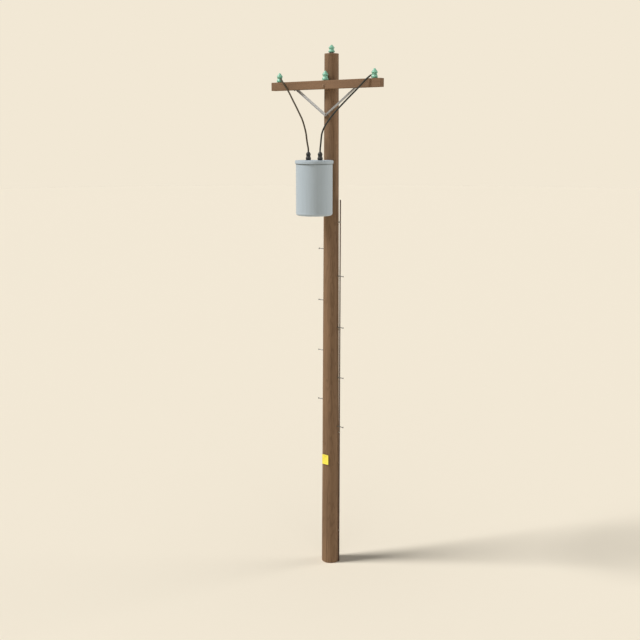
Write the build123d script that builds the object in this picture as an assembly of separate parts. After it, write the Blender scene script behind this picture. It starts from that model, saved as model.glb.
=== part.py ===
from build123d import *
import os
from math import asin, atan2, cos, hypot, pi, radians, sin, sqrt, tan

# Pole mounted transformer: a round wood pole that carries one crossarm with three pin
# insulators, a fourth insulator on its top, and a single-phase transformer tank hung in front.
# Millimetres. +Z is up, the crossarm runs along X, and the tank hangs on the -Y side.
# The origin is the centre of the pole's base face, at ground level.

# ---- fits ----
SEAT = 0.3                  # gap between curved faces that bear on each other
BOLT_FIT = 0.4              # radial gap of a bolt in its hole
CUT = 1                     # how far a cut starts outside the face it opens

# ---- pole ----
POLE_HEIGHT = 9124
POLE_BASE_R = 159.5
POLE_TOP_R = 120.5
POLE_EDGE = 4               # eased edge at the top

# ---- crossarm ----
ARM_LENGTH = 2230
ARM_HEIGHT = 138
ARM_DEPTH = 114
ARM_DROP = 511              # centre line below the pole's top
ARM_GAIN = 4                # depth of the flat cut into the pole
ARM_CHAMFER = 4

# ---- through bolts ----
ARM_BOLT_R = 8
ARM_BOLT_DROP = 14          # below the arm's centre line, clear of the middle pin
BOLT_R = 8                  # hanger and brace bolts in the pole
HEAD_WIDE = 2               # hexagon's corner radius, in bolt radii
HEAD_HIGH = 1.3             # head height, in bolt radii
WASHER = 56                 # square washer side
WASHER_THICK = 5
BOLT_TAIL = 14              # thread beyond the nut
FOOT_BOLT_R = 6             # brace feet
FOOT_LAG = 90               # depth of a foot bolt in the arm

# ---- V brace of angle bar ----
BRACE_LEG = 38
BRACE_THICK = 5
BRACE_DROP = 514            # lowest point of the V below the arm's centre line
BRACE_REACH = 587           # bar centre line from the pole's axis, under the arm
BRACE_FOOT = 100            # length of the flat foot under the arm
BRACE_FOOT_BOLT = 62        # foot bolt, outward from the bar's centre line
BRACE_BOLT_RISE = 31        # pole bolt above the tip
BRACE_STANDOFF = 36.5       # ahead of the pole, so the feet meet the arm near its middle
SPACER_R = 18               # pipe sleeve round the bolt, between pole and brace

# ---- pins and insulators ----
PIN_X = 973                 # outer pins from the pole's axis
PIN_R = 9.5
PIN_HEAD_R = 12.5           # threaded top inside the glass
PIN_FLANGE_R = 30
PIN_FLANGE = 5
PIN_LAG = 100               # depth of the outer pins in the arm
MIDDLE_PIN_LAG = 50         # this one stops above the arm bolt
TOP_PIN_LAG = 120
TOP_PIN_FLANGE_R = 38
TOP_PIN_FLANGE = 20
GLASS_GAP = 1.5             # rim above the flange
GLASS_CLEAR = 2.3           # middle insulator's skirt in front of the pole
GLASS_HEIGHT = 153
GLASS_WALL = 8              # skirt
GLASS_CORE = 11.1           # wall round the pin inside the skirt
SKIRT_R = 54.5
SKIRT_Z = 20                # widest point of the skirt, above the rim
NECK_R = 39
GROOVE_HALF = 11            # half the height of the wire groove
NECK_Z = 61                 # middle of the wire groove, above the rim
HEAD_R = 51.5
HEAD_Z = 92                 # widest point of the head, above the rim
CONE_BENDS = ((0.58, 0.5), (0.35, 0.8))     # shares of the head's radius and of the cone
CORE_FOOT_Z = 10            # lower end of the core, above the rim
CUP_Z = 26                  # where the hollow under the skirt starts to close
CUP_TOP_Z = 32
PIN_HOLE_DEPTH = 78
TOP_GLASS_HEIGHT = 124      # the pole top insulator is a shorter pattern

# ---- wire ties at the outer insulators ----
TIE_BAND = 4
TIE_HIGH = 16
SLEEVE_R = 8                # ferrule on the bared end of the lead

# ---- tank ----
TANK_R = 306.5
TANK_WALL = 4
TANK_HEIGHT = 906           # from the bottom to the lip under the lid's plate
TANK_LIP_RISE = 167         # lip above the upper hanger's bolt
TANK_CORNER_R = 34
TANK_STANDOFF = 52.3        # clear gap between pole and shell at the lower hanger
LID_RIM = 15                # lid beyond the shell
LID_PLATE = 8
LID_SKIRT = 45              # rim below the lip
LID_ROUND = 14
GASKET_WALL = 5             # rubber ring squeezed up under the lid's rim
GASKET_HIGH = 6
BUSHING_X = 122

# ---- high-voltage bushings ----
BUSHING_HEIGHT = 140
BUSHING_STEM_R = 17
BUSHING_STEM = 46           # length of stem through the lid
BUSHING_FOOT_R = 39
SHED_LOW_R, SHED_LOW_Z = 45, 33
WAIST_R, WAIST_Z = 34.5, 65
SHED_HIGH_R, SHED_HIGH_Z = 39.5, 104
BUSHING_TOP_R = 18
TERMINAL_R = 14
TERMINAL_HEIGHT = 10

# ---- tank hangers ----
HANGER_DROP = 1408          # upper hanger's bolt below the arm's centre line
HANGER_SPACING = 590        # between the two bolts
HANGER_WIDE = 92
HANGER_HIGH = 112
HANGER_PLATE = 10
HANGER_WEB = 8

# ---- pole steps ----
STEP_FIRST_Z = 2640         # lowest step, on the +X side
STEP_PITCH = 457.2          # from one side to the other
STEP_COUNT = 4              # on each side
STEP_R = 8
STEP_REACH = 128            # tip beyond the pole
STEP_LAG = 95               # depth in the wood
STEP_HEAD_R = 14
STEP_HEAD = 7

# ---- conduit ----
CONDUIT_R = 10.7
CONDUIT_WALL = 2.8
CONDUIT_PAST_TANK = 238     # top end above the tank's bottom
CONDUIT_GAP = 0.5           # from the pole at ground level; the pipe stands upright
CONDUIT_ANGLE = 13          # degrees from +X toward +Y
CONDUIT_CAP = 12
CAP_ROUND = 4.5
STRAP_FIRST_Z = 620
STRAP_LAST_DROP = 384       # last strap below the conduit's top
STRAP_COUNT = 4
STRAP_HIGH = 24
STRAP_THICK = 3
STRAP_STEM = 10             # stem width

# ---- sign plate ----
SIGN_WIDE = 135
SIGN_HIGH = 184
SIGN_THICK = 3
SIGN_Z = 2023
BATTEN_WIDE = 60
BATTEN_HIGH = 150
BATTEN_THICK = 14
SIGN_CORNER = 8
SCREW_R = 3
SCREW_HEAD_R = 7
SCREW_HEAD = 3
SCREW_SPACING = 110
SCREW_BITE = 17.5           # depth in the pole

# ---- high-voltage leads: routes from the terminal tops to the ties ----
# Heights are taken from the crossarm's centre line.
LEAD_R = 14
LEAD_LEFT = [
    (-122, -490, -1083), (-122, -490, -1042), (-138, -488, -988), (-160, -482, -905),
    (-185, -468, -794), (-233, -450, -682), (-299, -424, -561), (-387, -391, -461),
    (-476, -358, -353), (-574, -321, -247), (-662, -294, -135), (-745, -281, -31),
    (-834, -284, 79), (-921, -217, 124),
]
LEAD_RIGHT = [
    (122, -490, -1083), (122, -490, -1042), (131, -489, -988), (138, -485, -898),
    (146, -477, -791), (192, -460, -680), (260, -436, -579), (336, -408, -478),
    (427, -378, -379), (518, -350, -287), (611, -323, -194), (704, -303, -110),
    (792, -293, -31), (884, -293, 51), (933, -225, 117),
]

os.makedirs("parts", exist_ok=True)


def pole_r(z):
    return POLE_BASE_R + (POLE_TOP_R - POLE_BASE_R) * z / POLE_HEIGHT


def save(name, shape):
    shape.label = name
    export_step(shape, f"parts/{name}.step")


def rod(x, y, z, radius, length, toward):
    """A cylinder that starts at a point and runs toward a direction."""
    plane = Plane(origin=(x, y, z), z_dir=toward)
    return plane * Cylinder(radius, length, align=(Align.CENTER, Align.CENTER, Align.MIN))


def hexagon(x, y, z, radius, height, toward):
    plane = Plane(origin=(x, y, z), z_dir=toward)
    return extrude(plane * RegularPolygon(radius, 6), height)


def block(x0, x1, y0, y1, z0, z1):
    size = (x1 - x0, y1 - y0, z1 - z0)
    return Pos((x0 + x1) / 2, (y0 + y1) / 2, (z0 + z1) / 2) * Box(*size)


# The pole's own round surface, grown by the seat gap: saddles are cut with it.
pole_seat = Cone(POLE_BASE_R + SEAT, POLE_TOP_R + SEAT, POLE_HEIGHT,
                 align=(Align.CENTER, Align.CENTER, Align.MIN))

arm_z = POLE_HEIGHT - ARM_DROP
arm_back = -(pole_r(arm_z) - ARM_GAIN)
arm_front = arm_back - ARM_DEPTH
arm_mid = (arm_back + arm_front) / 2
arm_top = arm_z + ARM_HEIGHT / 2
arm_under = arm_z - ARM_HEIGHT / 2
arm_bolt_z = arm_z - ARM_BOLT_DROP

brace_tip_z = arm_z - BRACE_DROP
brace_back = -(pole_r(brace_tip_z) + BRACE_STANDOFF)
brace_front = brace_back - BRACE_THICK
brace_bolt_z = brace_tip_z + BRACE_BOLT_RISE
foot_bolt_x = BRACE_REACH + BRACE_FOOT_BOLT
foot_bolt_y = brace_back - BRACE_LEG / 2

middle_pin_y = -(pole_r(arm_top) + GLASS_CLEAR + SKIRT_R)

upper_z = arm_z - HANGER_DROP
lower_z = upper_z - HANGER_SPACING
hanger_heights = {"upper": upper_z, "lower": lower_z}
tank_y = -(pole_r(lower_z) + TANK_STANDOFF + TANK_R)
tank_lip_z = upper_z + TANK_LIP_RISE
tank_bottom_z = tank_lip_z - TANK_HEIGHT
lid_top = tank_lip_z + LID_PLATE

step_rows = [(f"step_right_{i + 1}", 1, STEP_FIRST_Z + 2 * i * STEP_PITCH)
             for i in range(STEP_COUNT)]
step_rows += [(f"step_left_{i + 1}", -1, STEP_FIRST_Z + (2 * i + 1) * STEP_PITCH)
              for i in range(STEP_COUNT)]

conduit_out = POLE_BASE_R + CONDUIT_GAP + CONDUIT_R
conduit_x = conduit_out * cos(radians(CONDUIT_ANGLE))
conduit_y = conduit_out * sin(radians(CONDUIT_ANGLE))
conduit_top = tank_bottom_z + CONDUIT_PAST_TANK
strap_pitch = (conduit_top - STRAP_LAST_DROP - STRAP_FIRST_Z) / (STRAP_COUNT - 1)
strap_heights = [STRAP_FIRST_Z + i * strap_pitch for i in range(STRAP_COUNT)]

sign_back = -(pole_r(SIGN_Z - BATTEN_HIGH / 2) + SEAT + BATTEN_THICK)
screw_end = -(pole_r(SIGN_Z) - SCREW_BITE)
screw_heights = [SIGN_Z - SCREW_SPACING / 2, SIGN_Z + SCREW_SPACING / 2]


def make_pole():
    body = Cone(POLE_BASE_R, POLE_TOP_R, POLE_HEIGHT,
                align=(Align.CENTER, Align.CENTER, Align.MIN))
    body = chamfer(body.edges().sort_by(Axis.Z)[-1], POLE_EDGE)
    wide = 2 * POLE_BASE_R
    body -= block(-wide, wide, -wide, arm_back, arm_under, arm_top)
    for z, radius in ((arm_bolt_z, ARM_BOLT_R), (brace_bolt_z, BOLT_R),
                      (upper_z, BOLT_R), (lower_z, BOLT_R)):
        body -= rod(0, -wide, z, radius + BOLT_FIT, 2 * wide, (0, 1, 0))
    body -= rod(0, 0, POLE_HEIGHT, PIN_R + BOLT_FIT, TOP_PIN_LAG + SEAT, (0, 0, -1))
    for name, side, z in step_rows:
        inner = side * (pole_r(z) - STEP_LAG - SEAT)
        body -= rod(inner, 0, z, STEP_R + BOLT_FIT, wide, (side, 0, 0))
    for z in screw_heights:
        body -= rod(0, screw_end + SEAT, z, SCREW_R + BOLT_FIT, wide, (0, -1, 0))
    return body


def make_crossarm():
    half = ARM_LENGTH / 2
    body = block(-half, half, arm_front, arm_back, arm_under, arm_top)
    body = chamfer(body.edges().filter_by(Axis.X), ARM_CHAMFER)
    body -= rod(0, 0, arm_bolt_z, ARM_BOLT_R + BOLT_FIT, 2 * abs(arm_front), (0, -1, 0))
    for side in (-1, 1):
        body -= rod(side * PIN_X, arm_mid, arm_top, PIN_R + BOLT_FIT, PIN_LAG + SEAT,
                    (0, 0, -1))
        body -= rod(side * foot_bolt_x, foot_bolt_y, arm_under - CUT, FOOT_BOLT_R + BOLT_FIT,
                    FOOT_LAG + SEAT + CUT, (0, 0, 1))
    body -= rod(0, middle_pin_y, arm_top, PIN_R + BOLT_FIT, MIDDLE_PIN_LAG + SEAT, (0, 0, -1))
    return body


def pole_bolt(z, radius, head_y):
    """A bolt through the pole: head in front, saddle washer and nut behind."""
    behind = pole_r(z - WASHER / 2) + SEAT + WASHER_THICK
    head_high = HEAD_HIGH * radius
    shank = rod(0, head_y, z, radius, behind + head_high + BOLT_TAIL - head_y, (0, 1, 0))
    head = hexagon(0, head_y, z, HEAD_WIDE * radius, head_high, (0, -1, 0))
    half = WASHER / 2
    washer = block(-half, half, 0, behind, z - half, z + half) - pole_seat
    nut = hexagon(0, behind, z, HEAD_WIDE * radius, head_high, (0, 1, 0))
    return shank + head + washer + nut


def make_arm_bolt():
    half = WASHER / 2
    front = arm_front - WASHER_THICK
    body = pole_bolt(arm_bolt_z, ARM_BOLT_R, front)
    return body + block(-half, half, front, arm_front, arm_bolt_z - half, arm_bolt_z + half)


def make_brace(side):
    """One arm of the V: angle bar, mitred at the pole, with a flat foot under the arm."""
    # the bar's lower edge leaves the tip, and its centre line meets the arm at the reach
    rise = arm_under - brace_tip_z
    slope = atan2(rise, BRACE_REACH) - asin(BRACE_LEG / 2 / hypot(rise, BRACE_REACH))
    across = BRACE_LEG / cos(slope)
    thick = BRACE_THICK / cos(slope)
    end_x = BRACE_REACH + 2 * BRACE_LEG

    def strip(depth, low, high):
        corners = [(0, brace_tip_z + low), (end_x, brace_tip_z + low + end_x * tan(slope)),
                   (end_x, brace_tip_z + high + end_x * tan(slope)), (0, brace_tip_z + high)]
        wire = Polyline([(x, brace_back, z) for x, z in corners], close=True)
        return extrude(make_face(wire), depth, dir=(0, -1, 0))

    bar = strip(BRACE_THICK, 0, across) + strip(BRACE_LEG, 0, thick)
    big = 3 * ARM_LENGTH
    bar -= block(-big, big, -big, big, arm_under, arm_under + big)
    start = BRACE_REACH - BRACE_LEG / 2
    foot = block(start, start + BRACE_FOOT, brace_back - BRACE_LEG, brace_back,
                 arm_under - BRACE_THICK, arm_under)
    bar += foot
    bar -= rod(0, 0, brace_bolt_z, BOLT_R + BOLT_FIT, 2 * abs(arm_front), (0, -1, 0))
    bar -= rod(foot_bolt_x, foot_bolt_y, arm_under, FOOT_BOLT_R + BOLT_FIT, ARM_HEIGHT, (0, 0, -1))
    return bar if side > 0 else mirror(bar, Plane.YZ)


def make_spacer():
    """A pipe sleeve on the brace bolt, its back end cut to the pole."""
    body = rod(0, 0, brace_bolt_z, SPACER_R, -brace_back, (0, -1, 0)) - pole_seat
    return body - rod(0, 0, brace_bolt_z, BOLT_R + BOLT_FIT, 2 * abs(arm_front), (0, -1, 0))


def make_foot_bolt(side):
    """A lag bolt up through the foot of the brace into the arm."""
    x = side * foot_bolt_x
    under = arm_under - BRACE_THICK
    body = rod(x, foot_bolt_y, under, FOOT_BOLT_R, FOOT_LAG + BRACE_THICK, (0, 0, 1))
    return body + hexagon(x, foot_bolt_y, under, HEAD_WIDE * FOOT_BOLT_R,
                          HEAD_HIGH * FOOT_BOLT_R, (0, 0, -1))


def pin_layout():
    """Name, place, seat height, flange radius and thickness, shank and glass height of each."""
    return [
        ("left", -PIN_X, arm_mid, arm_top, PIN_FLANGE_R, PIN_FLANGE, PIN_LAG, GLASS_HEIGHT),
        ("center", 0, middle_pin_y, arm_top, PIN_FLANGE_R, PIN_FLANGE, MIDDLE_PIN_LAG,
         GLASS_HEIGHT),
        ("right", PIN_X, arm_mid, arm_top, PIN_FLANGE_R, PIN_FLANGE, PIN_LAG, GLASS_HEIGHT),
        ("top", 0, 0, POLE_HEIGHT, TOP_PIN_FLANGE_R, TOP_PIN_FLANGE, TOP_PIN_LAG,
         TOP_GLASS_HEIGHT),
    ]


def make_insulator(x, y, rim_z, height):
    """Glass pin insulator, a turned shape: pointed head, wire groove and hollow skirt."""
    grow = height / GLASS_HEIGHT
    neck, head, skirt = NECK_Z * grow, HEAD_Z * grow, SKIRT_Z * grow
    hole_top, core_foot = PIN_HOLE_DEPTH * grow, CORE_FOOT_Z * grow
    cup, cup_top = CUP_Z * grow, CUP_TOP_Z * grow
    hole = PIN_HEAD_R + BOLT_FIT
    core_r, bore_r = hole + GLASS_CORE, SKIRT_R - GLASS_WALL
    rim = (SKIRT_R + bore_r) / 2
    bends = [(r * HEAD_R, head + share * (height - head)) for r, share in CONE_BENDS]
    edges = [
        Line((0, hole_top), (hole, hole_top)),
        Line((hole, hole_top), (hole, core_foot)),
        Line((hole, core_foot), (core_r, core_foot)),
        Line((core_r, core_foot), (core_r, cup)),
        ThreePointArc((core_r, cup), ((core_r + bore_r) / 2, cup_top), (bore_r, cup)),
        Line((bore_r, cup), (rim, 0)),
        Spline([(rim, 0), (SKIRT_R, skirt), (NECK_R, neck - GROOVE_HALF)],
               tangents=[(1, 0.4), (-0.2, 1)]),
        Line((NECK_R, neck - GROOVE_HALF), (NECK_R, neck + GROOVE_HALF)),
        Spline([(NECK_R, neck + GROOVE_HALF), (HEAD_R, head), *bends, (0, height)],
               tangents=[(0.7, 1), (-1, 0)]),
        Line((0, height), (0, hole_top)),
    ]
    face = make_face(Plane.XZ * Wire(edges))
    return Pos(x, y, rim_z) * revolve(face, Axis.Z)


def make_pin(x, y, seat, flange_r, flange, depth, height):
    """Steel pin: thread up inside the glass, flange on the wood, shank down into it."""
    top = seat + flange + GLASS_GAP + PIN_HOLE_DEPTH * height / GLASS_HEIGHT - SEAT
    body = rod(x, y, seat, PIN_HEAD_R, top - seat, (0, 0, 1))
    body += rod(x, y, seat, flange_r, flange, (0, 0, 1))
    return body + rod(x, y, seat, PIN_R, depth, (0, 0, -1))


def placed(route):
    return [Vector(x, y, arm_z + z) for x, y, z in route]


def make_tie(x, y, neck_z, route):
    """A band round the glass neck with a sleeve that grips the end of the lead."""
    inner = NECK_R + SEAT
    before, end = placed(route)[-2:]
    away = (end - before).normalized()
    span = hypot(end.X - x, end.Y - y) - NECK_R
    sleeve = rod(end.X, end.Y, end.Z, SLEEVE_R, span / hypot(away.X, away.Y), away)
    band = rod(x, y, neck_z - TIE_HIGH / 2, inner + TIE_BAND, TIE_HIGH, (0, 0, 1))
    return band + sleeve - rod(x, y, neck_z - NECK_Z, inner, 2 * NECK_Z, (0, 0, 1))


def ring(points):
    """Turn a closed outline of (radius, height) points about the tank's axis."""
    face = make_face(Plane.XZ * Polyline(points, close=True))
    return Pos(0, tank_y, 0) * revolve(face, Axis.Z)


def make_tank_shell():
    inner = TANK_R - TANK_WALL
    low = tank_bottom_z + TANK_CORNER_R
    return ring([(inner, low), (TANK_R, low), (TANK_R, tank_lip_z), (inner, tank_lip_z)])


def make_tank_bottom():
    """A pressed pan with a round corner, welded to the lower edge of the shell."""
    centre_r = TANK_R - TANK_CORNER_R
    centre_z = tank_bottom_z + TANK_CORNER_R
    inner = TANK_CORNER_R - TANK_WALL
    half = sqrt(0.5)
    edges = [
        Line((0, tank_bottom_z), (centre_r, tank_bottom_z)),
        ThreePointArc((centre_r, tank_bottom_z),
                      (centre_r + TANK_CORNER_R * half, centre_z - TANK_CORNER_R * half),
                      (TANK_R, centre_z)),
        Line((TANK_R, centre_z), (TANK_R - TANK_WALL, centre_z)),
        ThreePointArc((TANK_R - TANK_WALL, centre_z),
                      (centre_r + inner * half, centre_z - inner * half),
                      (centre_r, tank_bottom_z + TANK_WALL)),
        Line((centre_r, tank_bottom_z + TANK_WALL), (0, tank_bottom_z + TANK_WALL)),
        Line((0, tank_bottom_z + TANK_WALL), (0, tank_bottom_z)),
    ]
    face = make_face(Plane.XZ * Wire(edges))
    return Pos(0, tank_y, 0) * revolve(face, Axis.Z)


def make_tank_lid():
    """A flat cover with a deep rolled rim that drops over the shell."""
    inner, outer = TANK_R + SEAT, TANK_R + LID_RIM
    low = tank_lip_z - LID_SKIRT
    body = ring([(0, tank_lip_z), (inner, tank_lip_z), (inner, low),
                 (outer, low), (outer, lid_top), (0, lid_top)])
    rim = body.edges().filter_by(GeomType.CIRCLE).sort_by(SortBy.RADIUS)[-2:]
    body = fillet(rim, min(LID_ROUND, outer - inner - SEAT))
    for side in (-1, 1):
        body -= rod(side * BUSHING_X, tank_y, lid_top + CUT, BUSHING_STEM_R + SEAT,
                    BUSHING_STEM, (0, 0, -1))
    return body


def make_lid_gasket():
    inner, low = TANK_R + SEAT, tank_lip_z - LID_SKIRT
    outer = inner + GASKET_WALL
    return ring([(inner, low - GASKET_HIGH), (outer, low - GASKET_HIGH), (outer, low), (inner, low)])


def make_bushing(side):
    """Glazed porcelain bushing: two round sheds, and a stem down through the lid."""
    edges = [
        Line((0, -BUSHING_STEM), (BUSHING_STEM_R, -BUSHING_STEM)),
        Line((BUSHING_STEM_R, -BUSHING_STEM), (BUSHING_STEM_R, 0)),
        Line((BUSHING_STEM_R, 0), (BUSHING_FOOT_R, 0)),
        Spline([(BUSHING_FOOT_R, 0), (SHED_LOW_R, SHED_LOW_Z), (WAIST_R, WAIST_Z),
                (SHED_HIGH_R, SHED_HIGH_Z), (BUSHING_TOP_R, BUSHING_HEIGHT)],
               tangents=[(0.5, 1), (-0.6, 1)]),
        Line((BUSHING_TOP_R, BUSHING_HEIGHT), (0, BUSHING_HEIGHT)),
        Line((0, BUSHING_HEIGHT), (0, -BUSHING_STEM)),
    ]
    face = make_face(Plane.XZ * Wire(edges))
    return Pos(side * BUSHING_X, tank_y, lid_top) * revolve(face, Axis.Z)


def make_hanger(z):
    """Welded bracket: a saddle plate on the pole and two webs out to the tank."""
    half, high = HANGER_WIDE / 2, HANGER_HIGH / 2
    plate = block(-half, half, hanger_front(z), 0, z - high, z + high) - pole_seat
    shell = rod(0, tank_y, z - HANGER_HIGH, TANK_R + SEAT, 2 * HANGER_HIGH, (0, 0, 1))
    body = plate
    for side in (-1, 1):
        x0, x1 = sorted((side * half, side * (half - HANGER_WEB)))
        body += block(x0, x1, tank_y, hanger_front(z), z - high, z + high) - shell
    return body - rod(0, 0, z, BOLT_R + BOLT_FIT, TANK_R, (0, -1, 0))


def hanger_front(z):
    return -(pole_r(z - HANGER_HIGH / 2) + SEAT + HANGER_PLATE)


def make_step(side, z):
    """A lag-screwed rod with a button head at its tip."""
    inner, tip = pole_r(z) - STEP_LAG, pole_r(z) + STEP_REACH
    body = rod(side * inner, 0, z, STEP_R, tip - inner, (side, 0, 0))
    return body + rod(side * (tip - STEP_HEAD), 0, z, STEP_HEAD_R, STEP_HEAD, (side, 0, 0))


def make_conduit():
    pipe = rod(conduit_x, conduit_y, 0, CONDUIT_R, conduit_top - CONDUIT_CAP, (0, 0, 1))
    return pipe - rod(conduit_x, conduit_y, -CUT, CONDUIT_R - CONDUIT_WALL, conduit_top, (0, 0, 1))


def make_conduit_cap():
    body = rod(conduit_x, conduit_y, conduit_top - CONDUIT_CAP, CONDUIT_R, CONDUIT_CAP, (0, 0, 1))
    return fillet(body.edges().sort_by(Axis.Z)[-1], CAP_ROUND)


def make_strap(z):
    """A clip round the pipe on a stand-off stem that reaches back to the pole."""
    high = STRAP_HIGH / 2
    pipe = Pos(conduit_x, conduit_y, z) * Cylinder(CONDUIT_R + SEAT, 2 * STRAP_HIGH)
    clip = Pos(conduit_x, conduit_y, z) * Cylinder(CONDUIT_R + SEAT + STRAP_THICK, STRAP_HIGH)
    stem = Rot(0, 0, CONDUIT_ANGLE) * block(0, conduit_out, -STRAP_STEM / 2, STRAP_STEM / 2,
                                            z - high, z + high)
    return clip + stem - pipe - pole_seat


def make_sign():
    half, high = SIGN_WIDE / 2, SIGN_HIGH / 2
    plate = block(-half, half, sign_back - SIGN_THICK, sign_back, SIGN_Z - high, SIGN_Z + high)
    plate = fillet(plate.edges().filter_by(Axis.Y), SIGN_CORNER)
    for z in screw_heights:
        plate -= rod(0, sign_back + CUT, z, SCREW_R + BOLT_FIT, 2 * SIGN_THICK, (0, -1, 0))
    return plate


def make_batten():
    half, high = BATTEN_WIDE / 2, BATTEN_HIGH / 2
    body = block(-half, half, sign_back, 0, SIGN_Z - high, SIGN_Z + high) - pole_seat
    for z in screw_heights:
        body -= rod(0, 0, z, SCREW_R + BOLT_FIT, 2 * POLE_BASE_R, (0, -1, 0))
    return body


def make_sign_screw(z):
    front = sign_back - SIGN_THICK
    body = rod(0, screw_end, z, SCREW_R, screw_end - front, (0, -1, 0))
    return body + rod(0, front, z, SCREW_HEAD_R, SCREW_HEAD, (0, -1, 0))


def make_lead(name, route):
    """A tube of straight runs joined by arcs as large as the runs allow."""
    points = placed(route)
    runs = [b - a for a, b in zip(points, points[1:])]
    radii = []
    for one, two in zip(runs, runs[1:]):
        turn = radians(one.get_angle(two))
        radii.append(0.45 * min(one.length, two.length) / tan(turn / 2))
    path = FilletPolyline(*points, radius=radii)
    section = Plane(origin=points[0], z_dir=runs[0]) * Circle(LEAD_R)
    tube = sweep(section, path=path)
    expected = pi * LEAD_R ** 2 * path.length
    print(f"{name}: radii {min(radii):.0f} to {max(radii):.0f} mm, length {path.length:.0f} mm,",
          f"volume over section times length {tube.volume / expected:.5f}")
    return tube


save("pole", make_pole())
save("crossarm", make_crossarm())
save("crossarm_bolt", make_arm_bolt())
save("brace_bolt", pole_bolt(brace_bolt_z, BOLT_R, brace_front))
save("brace_spacer", make_spacer())
for name, side in (("left", -1), ("right", 1)):
    save(f"brace_{name}", make_brace(side))
    save(f"brace_foot_bolt_{name}", make_foot_bolt(side))
    save(f"bushing_{name}", make_bushing(side))
    save(f"terminal_{name}", rod(side * BUSHING_X, tank_y, lid_top + BUSHING_HEIGHT,
                                 TERMINAL_R, TERMINAL_HEIGHT, (0, 0, 1)))
for name, x, y, seat, flange_r, flange, depth, height in pin_layout():
    rim = seat + flange + GLASS_GAP
    save(f"pin_{name}", make_pin(x, y, seat, flange_r, flange, depth, height))
    save(f"insulator_{name}", make_insulator(x, y, rim, height))
neck_height = arm_top + PIN_FLANGE + GLASS_GAP + NECK_Z
for name, side, route in (("left", -1, LEAD_LEFT), ("right", 1, LEAD_RIGHT)):
    save(f"tie_{name}", make_tie(side * PIN_X, arm_mid, neck_height, route))
    save(f"lead_{name}", make_lead(name, route))
save("tank_shell", make_tank_shell())
save("tank_bottom", make_tank_bottom())
save("tank_lid", make_tank_lid())
save("lid_gasket", make_lid_gasket())
for name, z in hanger_heights.items():
    save(f"hanger_{name}", make_hanger(z))
    save(f"hanger_bolt_{name}", pole_bolt(z, BOLT_R, hanger_front(z)))
for name, side, z in step_rows:
    save(name, make_step(side, z))
save("conduit", make_conduit())
save("conduit_cap", make_conduit_cap())
save("conduit_straps", Compound([make_strap(z).solid() for z in strap_heights]))
save("sign_plate", make_sign())
save("sign_batten", make_batten())
save("sign_screws", Compound([make_sign_screw(z).solid() for z in screw_heights]))
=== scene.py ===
"""Pole mounted transformer: the looks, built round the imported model. Metres, +Z up."""
from math import atan2, cos, hypot, pi, radians, sin, sqrt, tan
from random import Random

import bmesh
import bpy
from mathutils import Matrix, Vector, noise


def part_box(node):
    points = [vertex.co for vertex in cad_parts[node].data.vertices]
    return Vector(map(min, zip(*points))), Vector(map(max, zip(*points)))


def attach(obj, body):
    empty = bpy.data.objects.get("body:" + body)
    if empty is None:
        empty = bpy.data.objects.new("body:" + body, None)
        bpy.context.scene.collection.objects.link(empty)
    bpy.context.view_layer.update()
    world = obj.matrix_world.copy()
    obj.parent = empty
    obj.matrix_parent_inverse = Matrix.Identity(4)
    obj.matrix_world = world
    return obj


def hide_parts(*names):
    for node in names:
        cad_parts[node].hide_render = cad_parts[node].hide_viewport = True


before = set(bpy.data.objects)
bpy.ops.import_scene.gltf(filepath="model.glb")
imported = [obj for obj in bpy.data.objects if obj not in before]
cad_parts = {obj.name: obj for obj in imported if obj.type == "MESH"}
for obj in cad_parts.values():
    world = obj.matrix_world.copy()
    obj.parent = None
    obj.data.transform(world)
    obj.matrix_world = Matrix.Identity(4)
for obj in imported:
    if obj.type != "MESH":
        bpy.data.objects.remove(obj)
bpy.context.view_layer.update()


# ==== Pole ====
# A peeled pine log, brown from its preservative, that tapers from the butt to the top.
# It has dried where it stands, so long checks run down it. Its front is cut flat for the arm.

pole_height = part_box("pole")[1].z
pole_base_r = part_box("pole")[1].x
pole_top_r = 0.1205
pole_edge = 0.004
pole_sides = 96
check_count = 15
station_gap = 0.05
gain_step = 0.0005
# Depth at which a check's groove takes its full painted shade.
groove_shade_depth = 0.004
arm_low, arm_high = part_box("crossarm")


def pole_r(z):
    return pole_base_r + (pole_top_r - pole_base_r) * z / pole_height


def put(name, data):
    """A new object in the scene."""
    made = bpy.data.objects.new(name, data)
    bpy.context.scene.collection.objects.link(made)
    return made


def make_object(name, shape, sharp=38):
    """An object from points and faces, smooth but for edges sharper than that many degrees."""
    points, faces = shape
    mesh = bpy.data.meshes.new(name)
    mesh.from_pydata([tuple(p) for p in points], [], faces)
    tidy = bmesh.new()
    tidy.from_mesh(mesh)
    bmesh.ops.recalc_face_normals(tidy, faces=tidy.faces)
    tidy.to_mesh(mesh)
    tidy.free()
    mesh.shade_smooth()
    mesh.set_sharp_from_angle(angle=radians(sharp))
    return put(name, mesh)


def steps(low, high, count):
    """Evenly spaced values from low to high, both ends included."""
    return [low + (high - low) * i / count for i in range(count + 1)]


def skin(rows, closed=False):
    """Points and faces over rows of points. A row of one point is a tip where the rows close."""
    points, faces, numbers = [], [], []
    for row in rows:
        numbers.append(list(range(len(points), len(points) + len(row))))
        points.extend(row)
    pairs = list(zip(numbers, numbers[1:]))
    if closed:
        pairs.append((numbers[-1], numbers[0]))
    for one, two in pairs:
        count = max(len(one), len(two))
        for i in range(count):
            j = (i + 1) % count
            corners = (one[i % len(one)], one[j % len(one)], two[j % len(two)], two[i % len(two)])
            faces.append(tuple(dict.fromkeys(corners)))
    return points, faces


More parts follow.
